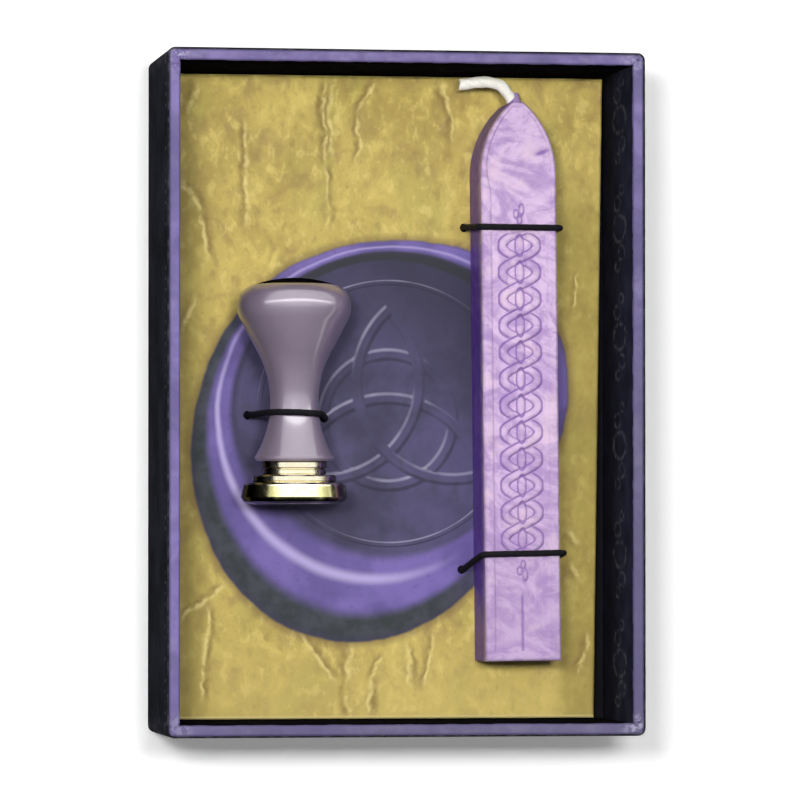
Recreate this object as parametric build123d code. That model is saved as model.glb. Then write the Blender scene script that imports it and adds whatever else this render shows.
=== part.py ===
"""Wax seal set in an open, paper-covered tray.

A rigid greyboard tray, covered in charcoal paper with a lilac edging on its rim, holds a
raised platform of folded card. Thin black elastics, knotted under the platform, hold down a
turned stamp with a brass seal head and a moulded stick of sealing wax with its wick.

Frame: origin at the centre of the tray's underside, X across the tray, Y along it towards
the wick's end, Z up out of the open top. Millimetres.
"""

from build123d import *
from math import acos, asin, atan2, cos, degrees, hypot, radians, sin, sqrt, tan
import os

# ---------------------------------------------------------------- driving dimensions
# Tray
TRAY_WIDTH, TRAY_LENGTH, TRAY_HEIGHT = 76.0, 108.0, 28.0
BOARD = 1.6  # greyboard
PAPER = 0.2  # covering papers
CORNER_RADIUS = 1.2  # outer vertical corners of the covered tray
TURN_UNDER = 12.0  # cover paper folded under the base
RIM_LIP = 0.3  # cover paper folded over the outer arris of the rim
ARRIS_BEVEL = 0.15
EDGING_LEG = 4.0  # lilac edging folded down inside, behind the lining
LEG_PAPER = 0.1
MITRE_GAP = 0.05
MITRE_LENGTH = 12.0  # long enough to cut right across the rim at a corner
BASE_SHEET_INSET = 1.0

# Platform
PLATFORM_TOP = 6.0  # above the tray's underside
CARD = 0.8
FOLD_RADIUS = 0.6
SHARPEST_FOLD = 0.1
PLATFORM_LEFT, PLATFORM_RIGHT = -35.7, 35.4
PLATFORM_UPPER_END, PLATFORM_LOWER_END = 51.7, -51.85
PLATFORM_SKEW = 1.5  # the right flange is cut out of square by this much
CORNER_SLIT, SLIT_LENGTH = 0.3, 4.0
HOLE_RADIUS = 0.7

# Elastics
CORD_RADIUS = 0.5
CORD_CLEARANCE = 0.06
CORD_BEND = 0.9
CORD_SIDES = 8  # of the elastics' and the wick's sections
KNOT_RADIUS, KNOT_HEIGHT, KNOT_BEVEL = 1.1, 2.0, 0.5
KNOT_Z = 3.75
HOLE_EXIT = 0.9  # the cord bends this far above the platform
WAX_CORD_DRIFT = 0.15  # share of the holes' offset along Y that the cord takes up on the front

# Stamp: radii, arcs, and stations along Y
STAMP_X = -16.3
HEAD_RADIUS, HEAD_Y = 9.14, 14.2  # widest
SHOULDER_ARC, HEAD_END_RADIUS = 3.35, 6.3
CONE_ANGLE = 27.5  # between the head and the neck
NECK_RADIUS, NECK_Y, NECK_ARC = 3.86, -1.2, 16.5  # narrowest
FLARE_Y, HANDLE_END_Y, FOOT_BEVEL = -9.9, -10.6, 0.4
CAP_RISE, CAP_SPIGOT_RADIUS, CAP_SPIGOT_LENGTH = 1.05, 2.5, 3.0
BUSH_RADIUS, BUSH_LENGTH = 2.9, 7.0
STUD_RADIUS, STUD_LENGTH, STUD_TIP = 2.0, 6.3, 0.4
STUD_CLEARANCE = 0.05
SEAT_GAP = 0.03
REST_GAP = 0.03

# Seal head: each band is (first Y, last Y, edge radius, crown radius), bevelled at its edges
BEADS = [
    (HANDLE_END_Y - SEAT_GAP, -11.78, 5.05, 5.25),
    (-11.9, -12.7, 4.95, 5.1),
    (-12.78, -13.95, 6.45, 6.7),
]
GROOVE_RADII = [4.8, 4.8, 6.2]  # ground between one band and the next
DISC_TOP_RADIUS, DISC_TOP_Y, DISC_TOP_BEVEL = 8.15, -14.05, 0.3
DISC_RADIUS, DISC_SIDE_END_Y = 8.5, -16.3
DISC_SHOULDER = (8.05, -17.0)  # its rounding towards the die's face passes through here
DIE_RADIUS, DIE_Y = 6.9, -17.4
ENGRAVING_DEPTH = 0.35
TRIQUETRA_ARC, TRIQUETRA_OFFSET, TRIQUETRA_TIP = 4.1, 3.2, 4.62
TRIQUETRA_RING, TRIQUETRA_HALF_WIDTH = 2.78, 0.22
BORDER_RADIUS, BORDER_HALF_WIDTH = 5.9, 0.12

# Wax stick, and its place: the middle of its foot, and its slight turn
WAX_WIDTH, WAX_LENGTH, WAX_THICKNESS = 12.4, 90.3, 10.4
WAX_SHOULDER = 78.0  # parallel sides end here
WAX_TIP_ROUND = 2.0
WAX_DRAFT = 0.6
WAX_BEVEL = 0.4
WAX_BORDER, WAX_PANEL_DEPTH = 1.5, 0.25  # raised border round the sunk front panel
WAX_FOOT = (20.55, -42.5)
WAX_TURN = 0.61
COLLAR_RADIUS, COLLAR_INSET = 1.7, 2.3  # wax drawn up the wick: its root, inside the tip
COLLAR_TOP_RADIUS, COLLAR_RISE, COLLAR_SHIFT = 0.7, 0.95, 0.3

# Wick
WICK_RADIUS = 0.92
WICK_Z = 11.2
WICK_BENDS = [(0.1, -0.35, 0.1), (-1.9, 2.25, 0.5), (-4.6, 2.75, 0.5), (-8.7, 2.15, 0.3)]
WICK_RADII = [2.0, 3.0, 8.0]  # the bends are measured from the stick's tip

# Elastic holes: left (X, Y), right (X, Y), and Y where the cord crosses the piece
STAMP_CORD = ((-22.6, -3.1), (-10.2, -3.5), -2.9)
UPPER_WAX_CORD = ((12.6, 27.3), (26.75, 26.7), 26.9)
LOWER_WAX_CORD = ((12.2, -27.9), (27.5, -25.9), -25.4)

BOARD_W, BOARD_L = TRAY_WIDTH - 2 * PAPER, TRAY_LENGTH - 2 * PAPER
INNER_W, INNER_L = BOARD_W - 2 * BOARD, BOARD_L - 2 * BOARD
BASE_BOARD_Z = 2 * PAPER
WALL_Z = BASE_BOARD_Z + BOARD
BOARD_TOP = TRAY_HEIGHT - PAPER
FLOOR_Z = WALL_Z + PAPER
STAMP_Z = PLATFORM_TOP + REST_GAP + HEAD_RADIUS
SHOULDER_CENTRE = HEAD_RADIUS - SHOULDER_ARC
HEAD_END_Y = HEAD_Y + sqrt(SHOULDER_ARC**2 - (HEAD_END_RADIUS - SHOULDER_CENTRE) ** 2)


def slab(sketch, low, high):
    """A flat sketch as a solid between two heights."""
    return extrude(Pos(0, 0, low) * sketch, high - low)


def save(name, shape):
    shape.label = name
    export_step(shape, os.path.join("parts", name + ".step"))
    print(f"{name:24s} {shape.volume:10.2f} mm3")


# ---------------------------------------------------------------- tray
def base_board():
    plan = RectangleRounded(BOARD_W, BOARD_L, CORNER_RADIUS - PAPER)
    return slab(plan, BASE_BOARD_Z, WALL_Z)


def side_board(side):
    """A long wall: side is -1 for the left one and 1 for the right."""
    plan = RectangleRounded(BOARD_W, BOARD_L, CORNER_RADIUS - PAPER)
    strip = Pos(side * (BOARD_W - BOARD) / 2, 0) * Rectangle(BOARD, BOARD_L)
    return slab(plan & strip, WALL_Z, BOARD_TOP)


def end_board(end):
    """A short wall, between the long ones: end is 1 at the wick's end and -1 at the other."""
    plan = Pos(0, end * (BOARD_L - BOARD) / 2) * Rectangle(INNER_W, BOARD)
    return slab(plan, WALL_Z, BOARD_TOP)


def cover_paper():
    """Charcoal paper: round the walls, folded under the base and just over the rim's arris."""
    outline = RectangleRounded(TRAY_WIDTH, TRAY_LENGTH, CORNER_RADIUS)
    boards = RectangleRounded(BOARD_W, BOARD_L, CORNER_RADIUS - PAPER)
    inner_turn = Rectangle(TRAY_WIDTH - 2 * TURN_UNDER, TRAY_LENGTH - 2 * TURN_UNDER)
    inner_lip = RectangleRounded(
        TRAY_WIDTH - 2 * RIM_LIP, TRAY_LENGTH - 2 * RIM_LIP, CORNER_RADIUS - RIM_LIP
    )
    walls = slab(outline - boards, PAPER, BOARD_TOP)
    turned = slab(outline - inner_turn, PAPER, BASE_BOARD_Z)
    lip = slab(outline - inner_lip, BOARD_TOP, TRAY_HEIGHT)
    paper = walls + turned + lip
    arris = paper.faces().sort_by(Axis.Z)[-1].outer_wire().edges()
    return chamfer(arris, ARRIS_BEVEL)


def edging_legs():
    """The part of the edging that is folded down behind the lining."""
    return slab(
        Rectangle(INNER_W, INNER_L) - Rectangle(INNER_W - 2 * LEG_PAPER, INNER_L - 2 * LEG_PAPER),
        BOARD_TOP - EDGING_LEG,
        BOARD_TOP,
    )


def rim_edging():
    """Lilac paper on the rim: four strips with mitred ends."""
    lip = RectangleRounded(
        TRAY_WIDTH - 2 * RIM_LIP, TRAY_LENGTH - 2 * RIM_LIP, CORNER_RADIUS - RIM_LIP
    )
    opening = Rectangle(INNER_W - 2 * PAPER, INNER_L - 2 * PAPER)
    edging = slab(lip - opening, BOARD_TOP, TRAY_HEIGHT) + edging_legs()
    for side in (-1, 1):
        for end in (-1, 1):
            corner = Pos(side * (INNER_W / 2), end * (INNER_L / 2), TRAY_HEIGHT)
            turn = Rot(0, 0, 45 * side * end)
            edging -= corner * turn * Box(MITRE_LENGTH, MITRE_GAP, TRAY_HEIGHT)
    return Compound(children=list(edging.solids()))


def wall_lining():
    """Dark printed paper on the inside of the walls, over the edging's legs."""
    opening = Rectangle(INNER_W - 2 * PAPER, INNER_L - 2 * PAPER)
    return slab(Rectangle(INNER_W, INNER_L) - opening, WALL_Z, BOARD_TOP) - edging_legs()


def floor_lining():
    return slab(Rectangle(INNER_W - 2 * PAPER, INNER_L - 2 * PAPER), WALL_Z, FLOOR_Z)


def base_sheet():
    """Bottom paper, pasted over the turned edges and down to the board between them."""
    inset = 2 * BASE_SHEET_INSET
    sheet = RectangleRounded(TRAY_WIDTH - inset, TRAY_LENGTH - inset, CORNER_RADIUS)
    inner = Rectangle(TRAY_WIDTH - 2 * TURN_UNDER, TRAY_LENGTH - 2 * TURN_UNDER)
    return slab(sheet, 0, PAPER) + slab(inner, PAPER, BASE_BOARD_Z)


# ---------------------------------------------------------------- platform
def platform_corners(inset=0.0):
    """The top's corners, from the upper left one round to the right."""
    left, right = PLATFORM_LEFT + inset, PLATFORM_RIGHT - inset
    upper, lower = PLATFORM_UPPER_END - inset, PLATFORM_LOWER_END + inset
    return [(left, upper), (right, upper), (right - PLATFORM_SKEW, lower), (left, lower)]


def platform_block(inset):
    """The platform's outer form, this far inside its printed face, as a solid block."""
    plan = make_face(Polyline(*platform_corners(inset), close=True))
    block = slab(plan, FLOOR_Z, PLATFORM_TOP - inset)
    fold = FOLD_RADIUS - inset
    top_edges = block.faces().sort_by(Axis.Z)[-1].edges()
    return fillet(top_edges, fold) if fold > SHARPEST_FOLD else block


def platform_cuts():
    """Elastic holes through the top, and the slits between flanges at the corners."""
    cuts = []
    for left, right, _ in (STAMP_CORD, UPPER_WAX_CORD, LOWER_WAX_CORD):
        for x, y in (left, right):
            cuts.append(Pos(x, y, PLATFORM_TOP) * Cylinder(HOLE_RADIUS, PLATFORM_TOP))
    slit_height = PLATFORM_TOP - PAPER - CARD - FLOOR_Z
    for (x, y), turn in zip(platform_corners(), (-45, 45, -45, 45)):
        place = Pos(x, y, FLOOR_Z + slit_height / 2) * Rot(0, 0, turn)
        cuts.append(place * Box(SLIT_LENGTH, CORNER_SLIT, slit_height))
    return cuts


def printed_face():
    """The printed paper laminated on the card and over its flanges."""
    face = platform_block(0) - platform_block(PAPER)
    for cut in platform_cuts():
        face -= cut
    return face


def platform_card():
    """Folded card: a top with four flanges that stand on the tray's floor."""
    card = platform_block(PAPER) - platform_block(PAPER + CARD)
    for cut in platform_cuts():
        card -= cut
    return card


# ---------------------------------------------------------------- stamp
def turned(outline, x=STAMP_X, z=STAMP_Z):
    """A profile of (radius, Y) curves turned about the stamp's axis."""
    return Pos(x, 0, z) * revolve(make_face(outline), Axis.Y)


def arc(centre, radius, start, end):
    """An arc of this circle between two angles, measured from the radius towards +Y.

    It is drawn as a spline, as a turned spline needs far fewer facets than a turned circle.
    """
    angles = [radians(start + (end - start) * share) for share in (0, 0.25, 0.5, 0.75, 1)]
    on_circle = [(centre[0] + radius * cos(a), centre[1] + radius * sin(a)) for a in angles]
    way = 1 if end > start else -1
    tangents = [(-way * sin(a), way * cos(a)) for a in (angles[0], angles[-1])]
    return Spline(*on_circle, tangents=tangents)


def stamp_handle():
    """Lacquered handle: a knob that narrows to a neck and flares out to a bevelled foot."""
    neck_centre = (NECK_RADIUS + NECK_ARC, NECK_Y)
    flare_angle = degrees(asin((NECK_Y - FLARE_Y) / NECK_ARC))
    neck = arc(neck_centre, NECK_ARC, 180 + flare_angle, 180 - CONE_ANGLE)
    # the knob's arc is tangent to the cone and to the widest circle
    slope = radians(CONE_ANGLE)
    cone_start = neck @ 1
    spare = (cone_start.X - HEAD_RADIUS) * cos(slope) - (cone_start.Y - HEAD_Y) * sin(slope)
    knob_arc = spare / (1 - cos(slope))
    knob = arc((HEAD_RADIUS - knob_arc, HEAD_Y), knob_arc, -CONE_ANGLE, 0)
    shoulder_end = degrees(acos((HEAD_END_RADIUS - SHOULDER_CENTRE) / SHOULDER_ARC))
    shoulder = arc((SHOULDER_CENTRE, HEAD_Y), SHOULDER_ARC, 0, shoulder_end)
    lip_radius = (neck @ 0).X
    ends = Polyline(
        shoulder @ 1,
        (0, HEAD_END_Y),
        (0, HANDLE_END_Y),
        (lip_radius - FOOT_BEVEL, HANDLE_END_Y),
        (lip_radius, HANDLE_END_Y + FOOT_BEVEL),
        neck @ 0,
    )
    body = turned(neck + Line(neck @ 1, knob @ 0) + knob + shoulder + ends)
    return body - bush_blank() - cap_spigot()


def along_stamp(y_from, y_to, radius):
    """A cylinder on the stamp's axis between two stations."""
    middle = (y_from + y_to) / 2
    return Pos(STAMP_X, middle, STAMP_Z) * Rot(90, 0, 0) * Cylinder(radius, abs(y_to - y_from))


def bush_blank():
    return along_stamp(HANDLE_END_Y, HANDLE_END_Y + BUSH_LENGTH, BUSH_RADIUS)


def cap_spigot():
    return along_stamp(HEAD_END_Y - CAP_SPIGOT_LENGTH, HEAD_END_Y, CAP_SPIGOT_RADIUS)


def handle_cap():
    """Low black dome that plugs the handle's end."""
    top_y = HEAD_END_Y + CAP_RISE
    spigot_y = HEAD_END_Y - CAP_SPIGOT_LENGTH
    crown_radius = (HEAD_END_RADIUS**2 + CAP_RISE**2) / (2 * CAP_RISE)
    edge_angle = degrees(acos(HEAD_END_RADIUS / crown_radius))
    dome = arc((0, top_y - crown_radius), crown_radius, edge_angle, 90)
    plug = Polyline(
        dome @ 1,
        (0, spigot_y),
        (CAP_SPIGOT_RADIUS, spigot_y),
        (CAP_SPIGOT_RADIUS, HEAD_END_Y),
        dome @ 0,
    )
    return turned(dome + plug)


def threaded_bush():
    """Brass bush fixed in the handle, which the seal head screws into."""
    bore = along_stamp(HANDLE_END_Y, HANDLE_END_Y + BUSH_LENGTH, STUD_RADIUS + STUD_CLEARANCE)
    return bush_blank() - bore


def ring(radius, half_width):
    return Circle(radius + half_width) - Circle(radius - half_width)


def triquetra():
    """Three-lobed interlaced knot with a ring: three arcs between its tips, and a circle."""
    knot = ring(TRIQUETRA_RING, TRIQUETRA_HALF_WIDTH)
    reach = 2 * (TRIQUETRA_ARC + TRIQUETRA_HALF_WIDTH)  # across one whole circle of the knot
    for turn in (0, 120, 240):
        beyond = Pos(0, -(TRIQUETRA_TIP + reach) / 2) * Rectangle(reach, reach)
        lobe = Pos(0, -TRIQUETRA_OFFSET) * ring(TRIQUETRA_ARC, TRIQUETRA_HALF_WIDTH)
        knot += Rot(0, 0, turn) * (lobe - beyond)
    return knot


def seal_head():
    """Brass head: beads and steps down to a round disc, whose face is the engraved die."""
    outline = [(0, BEADS[0][0])]
    next_stations = [BEADS[1][0], BEADS[2][0], DISC_TOP_Y]
    for (first, last, edge, crown), ground, following in zip(BEADS, GROOVE_RADII, next_stations):
        bevel = crown - edge
        outline += [(edge, first), (crown, first - bevel), (crown, last + bevel), (edge, last)]
        outline += [(ground, last), (ground, following)]
    outline += [
        (DISC_TOP_RADIUS - DISC_TOP_BEVEL, DISC_TOP_Y),
        (DISC_TOP_RADIUS, DISC_TOP_Y - DISC_TOP_BEVEL),
        (DISC_RADIUS, DISC_SIDE_END_Y),
        DISC_SHOULDER,
        (DIE_RADIUS, DIE_Y),
        (0, DIE_Y),
    ]
    head = turned(Polyline(*outline, close=True))
    stud_end = BEADS[0][0] + STUD_LENGTH
    stud = along_stamp(BEADS[0][0], stud_end, STUD_RADIUS)
    stud = chamfer(stud.faces().sort_by(Axis.Y)[-1].edges(), STUD_TIP)
    engraving = triquetra() + ring(BORDER_RADIUS, BORDER_HALF_WIDTH)
    die_plane = Plane(origin=(STAMP_X, DIE_Y, STAMP_Z), x_dir=(1, 0, 0), z_dir=(0, -1, 0))
    return head + stud - extrude(die_plane * engraving, -ENGRAVING_DEPTH)


# ---------------------------------------------------------------- wax stick and wick
def on_wax(shape):
    """From the stick's own frame, at the middle of its foot on the platform, to its place."""
    return Pos(*WAX_FOOT, PLATFORM_TOP) * Rot(0, 0, WAX_TURN) * shape


def wax_tip():
    turn = radians(WAX_TURN)
    return (WAX_FOOT[0] - WAX_LENGTH * sin(turn), WAX_FOOT[1] + WAX_LENGTH * cos(turn))


def wax_edge(y, side):
    """X of the stick's side at this Y: side is -1 for left and 1 for right."""
    turn = radians(WAX_TURN)
    return WAX_FOOT[0] - (y - WAX_FOOT[1]) * tan(turn) + side * WAX_WIDTH / 2 / cos(turn)


def wax_plan(inset=0.0):
    """The stick's outline, or one this far inside it: parallel sides and an ogive tip."""
    half = WAX_WIDTH / 2
    ogive = ((WAX_LENGTH - WAX_SHOULDER) ** 2 + half**2) / (2 * half)
    tip_y = WAX_SHOULDER + sqrt((ogive - inset) ** 2 - (ogive - half) ** 2)
    side = half - inset
    outline = (
        Polyline((-side, WAX_SHOULDER), (-side, inset), (side, inset), (side, WAX_SHOULDER))
        + RadiusArc((side, WAX_SHOULDER), (0, tip_y), inset - ogive)
        + RadiusArc((0, tip_y), (-side, WAX_SHOULDER), inset - ogive)
    )
    plan = make_face(outline)
    return fillet(plan.vertices().sort_by(Axis.Y)[-1], WAX_TIP_ROUND)


def wax_stick():
    """Moulded stick: drafted walls, bevelled front edges and a sunk front panel."""
    block = extrude(wax_plan(), WAX_THICKNESS - WAX_BEVEL, taper=WAX_DRAFT)
    shoulder = block.faces().sort_by(Axis.Z)[-1]
    block += extrude(shoulder, WAX_BEVEL, taper=45)
    panel = Pos(0, 0, WAX_THICKNESS - WAX_PANEL_DEPTH) * wax_plan(WAX_BORDER)
    collar_length = COLLAR_INSET + COLLAR_RISE
    collar_middle = WAX_LENGTH - COLLAR_INSET + collar_length / 2
    collar = Cone(COLLAR_RADIUS, COLLAR_TOP_RADIUS, collar_length)
    block += Pos(COLLAR_SHIFT, collar_middle, WICK_Z - PLATFORM_TOP) * Rot(-90, 0, 0) * collar
    return on_wax(block - extrude(panel, 2 * WAX_PANEL_DEPTH)) - wick()


def wick():
    """Waxed cotton core: up the middle of the stick, out of its tip and bent over."""
    tip_x, tip_y = wax_tip()
    foot = (*WAX_FOOT, WICK_Z)
    bends = [(tip_x + x, tip_y + y, WICK_Z + z) for x, y, z in WICK_BENDS]
    path = FilletPolyline(foot, *bends, radius=WICK_RADII)
    section = Plane(origin=path @ 0, z_dir=path % 0) * RegularPolygon(WICK_RADIUS, CORD_SIDES)
    return sweep(section, path)


# ---------------------------------------------------------------- elastics
def cord(points, radii):
    """A cord along a route of straight runs and tangent arcs, with a knot at each end."""
    path = FilletPolyline(*points, radius=radii)
    section = Plane(origin=path @ 0, z_dir=path % 0) * RegularPolygon(CORD_RADIUS, CORD_SIDES)
    run = sweep(section, path)
    knot = extrude(RegularPolygon(KNOT_RADIUS, CORD_SIDES), KNOT_HEIGHT / 2, both=True)
    knot = chamfer(knot.faces().filter_by(Axis.Z).edges(), KNOT_BEVEL)
    for end in (points[0], points[-1]):
        run += Pos(*end) * knot
    return run


def neck_radius(y):
    """The handle's radius at a station on the arc of its neck."""
    return NECK_RADIUS + NECK_ARC - sqrt(NECK_ARC**2 - (y - NECK_Y) ** 2)


def stamp_elastic():
    """Up through the platform, once over the handle's neck, and down again."""
    left, right, over_y = STAMP_CORD
    exit_z = PLATFORM_TOP + HOLE_EXIT
    hole_y = (left[1] + right[1]) / 2
    wrap = neck_radius(hole_y) + CORD_RADIUS + CORD_CLEARANCE
    # the two straight runs are tangent to the wrap, and would meet at an apex above it
    drop = STAMP_Z - exit_z
    spans = [STAMP_X - left[0], right[0] - STAMP_X]
    slopes = [atan2(drop, span) + asin(wrap / hypot(span, drop)) for span in spans]
    apex_x = (tan(slopes[0]) * left[0] + tan(slopes[1]) * right[0]) / (
        tan(slopes[0]) + tan(slopes[1])
    )
    apex_rise = (apex_x - left[0]) * tan(slopes[0])
    apex_y = hole_y + (over_y - hole_y) * apex_rise / (drop + wrap)
    points = [
        (*left, KNOT_Z),
        (*left, exit_z),
        (apex_x, apex_y, exit_z + apex_rise),
        (*right, exit_z),
        (*right, KNOT_Z),
    ]
    return cord(points, [CORD_BEND, wrap, CORD_BEND])


def wax_elastic(holes):
    """Up beside the stick, across its front and down the other side."""
    left, right, over_y = holes
    exit_z = PLATFORM_TOP + HOLE_EXIT
    front_z = PLATFORM_TOP + WAX_THICKNESS + CORD_RADIUS + CORD_CLEARANCE
    right_y = over_y + (right[1] - left[1]) * WAX_CORD_DRIFT
    points = [
        (*left, KNOT_Z),
        (*left, exit_z),
        (wax_edge(over_y, -1) - CORD_RADIUS + CORD_CLEARANCE, over_y, front_z),
        (wax_edge(right_y, 1) + CORD_RADIUS - CORD_CLEARANCE, right_y, front_z),
        (*right, exit_z),
        (*right, KNOT_Z),
    ]
    return cord(points, [CORD_BEND] * 4)


PIECES = {
    "base_board": base_board,
    "left_side_board": lambda: side_board(-1),
    "right_side_board": lambda: side_board(1),
    "upper_end_board": lambda: end_board(1),
    "lower_end_board": lambda: end_board(-1),
    "cover_paper": cover_paper,
    "rim_edging": rim_edging,
    "wall_lining": wall_lining,
    "floor_lining": floor_lining,
    "base_sheet": base_sheet,
    "platform_card": platform_card,
    "printed_face": printed_face,
    "stamp_elastic": stamp_elastic,
    "wax_elastic_upper": lambda: wax_elastic(UPPER_WAX_CORD),
    "wax_elastic_lower": lambda: wax_elastic(LOWER_WAX_CORD),
    "stamp_handle": stamp_handle,
    "handle_cap": handle_cap,
    "threaded_bush": threaded_bush,
    "seal_head": seal_head,
    "wax_stick": wax_stick,
    "wick": wick,
}

os.makedirs("parts", exist_ok=True)
for piece_name, make in PIECES.items():
    save(piece_name, make())
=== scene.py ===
"""Looks of the wax seal set: an open paper-covered tray, a turned stamp and a stick of wax.

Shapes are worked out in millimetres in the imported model's frame (origin at the middle of the
tray's underside, Y towards the wick's end, Z up) and scaled to metres where a mesh is made.
"""

from math import asin, atan2, cos, hypot, pi, radians, sin, sqrt, tan

import bpy
import numpy as np
from mathutils import Matrix, Vector, noise

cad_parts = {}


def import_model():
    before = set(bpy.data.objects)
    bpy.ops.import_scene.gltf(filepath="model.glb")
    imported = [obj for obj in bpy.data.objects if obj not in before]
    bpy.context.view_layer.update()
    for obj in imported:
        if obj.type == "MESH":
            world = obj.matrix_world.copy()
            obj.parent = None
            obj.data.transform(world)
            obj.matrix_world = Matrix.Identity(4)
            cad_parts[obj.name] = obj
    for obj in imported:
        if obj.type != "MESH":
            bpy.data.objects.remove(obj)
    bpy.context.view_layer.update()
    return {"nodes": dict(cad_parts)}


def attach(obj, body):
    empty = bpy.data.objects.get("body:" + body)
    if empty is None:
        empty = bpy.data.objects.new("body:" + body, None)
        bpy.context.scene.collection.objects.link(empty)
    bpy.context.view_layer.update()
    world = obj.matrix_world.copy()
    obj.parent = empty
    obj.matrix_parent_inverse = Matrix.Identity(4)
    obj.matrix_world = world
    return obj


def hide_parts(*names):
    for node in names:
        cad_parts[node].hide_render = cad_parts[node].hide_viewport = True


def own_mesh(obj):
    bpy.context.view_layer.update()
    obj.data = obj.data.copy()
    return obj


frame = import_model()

MM = 0.001

# ---------------------------------------------------------------- the frame's main sizes, mm
TRAY_HALF_W, TRAY_HALF_L, TRAY_TOP = 38.0, 54.0, 28.0
WALL_X, WALL_Y = 36.0, 52.0  # faces of the lining
RIM_LIP = 0.3  # charcoal paper folded over the rim's outer arris
PLATFORM_TOP = 6.0
STAMP_X, STAMP_Z = -16.3, 15.17
WAX_WIDTH, WAX_LENGTH, WAX_THICKNESS = 12.4, 90.3, 10.4
WAX_SHOULDER = 78.0
WAX_FOOT, WAX_TURN = (20.55, -42.5), radians(0.61)
WICK_Z = 11.2


# ---------------------------------------------------------------- shader fields
MANY_CELLS = 50.0  # more than there are, so that a cell's number is never below 0


class Field:
    """A number or colour that varies over a surface. Arithmetic on it adds shader nodes."""

    def __init__(self, tree, socket):
        self.tree, self.socket = tree, socket

    def __add__(self, other):
        return calc("ADD", self, other)

    def __sub__(self, other):
        return calc("SUBTRACT", self, other)

    def __rsub__(self, other):
        return calc("SUBTRACT", other, self)

    def __mul__(self, other):
        return calc("MULTIPLY", self, other)

    def __truediv__(self, other):
        return calc("DIVIDE", self, other)

    def __neg__(self):
        return calc("MULTIPLY", self, -1.0)

    __radd__, __rmul__ = __add__, __mul__


def feed(socket, value):
    if isinstance(value, Field):
        value.tree.links.new(value.socket, socket)
    else:
        socket.default_value = value


def calc(operation, *values, clamp=False):
    tree = next(v.tree for v in values if isinstance(v, Field))
    node = tree.nodes.new("ShaderNodeMath")
    node.operation, node.use_clamp = operation, clamp
    for socket, value in zip(node.inputs, values):
        feed(socket, value)
    return Field(tree, node.outputs[0])


def absolute(value):
    return calc("ABSOLUTE", value)


def length(a, b):
    return calc("SQRT", a * a + b * b)


def step(value, low, high, soft=True):
    """0 below low, 1 above high, and eased between them. low may be the larger one."""
    node = value.tree.nodes.new("ShaderNodeMapRange")
    node.interpolation_type = "SMOOTHSTEP" if soft else "LINEAR"
    feed(node.inputs["Value"], value)
    if low < high:
        limits = (low, high, 0.0, 1.0)
    else:
        limits = (high, low, 1.0, 0.0)
    for name, limit in zip(("From Min", "From Max", "To Min", "To Max"), limits):
        node.inputs[name].default_value = limit
    return Field(value.tree, node.outputs["Result"])


def hump(value, centre, width):
    """1 where value is centre, falling to 0 at this width either side of it."""
    return step(absolute(value - centre), width, 0.0)


def repeated(value, pitch, first=0.0):
    """Place within a cell, 0 at its middle. Cells are a pitch wide, and one starts at first."""
    return (calc("FRACT", (value - first) / pitch + MANY_CELLS) - 0.5) * pitch


def srgb(red, green, blue):
    """A colour of the photograph's kind, 0 to 255, as the linear one that sockets take."""
    parts = [c / 255 for c in (red, green, blue)]
    return (*[c / 12.92 if c <= 0.04045 else ((c + 0.055) / 1.055) ** 2.4 for c in parts], 1.0)


def mix(amount, first, second, blend="MIX"):
    """A colour between two: the first where amount is 0, the second where it is 1."""
    tree = next(v.tree for v in (amount, first, second) if isinstance(v, Field))
    node = tree.nodes.new("ShaderNodeMix")
    node.data_type, node.blend_type = "RGBA", blend
    feed(node.inputs[0], amount)
    feed(node.inputs[6], first)
    feed(node.inputs[7], second)
    return Field(tree, node.outputs[2])


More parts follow.
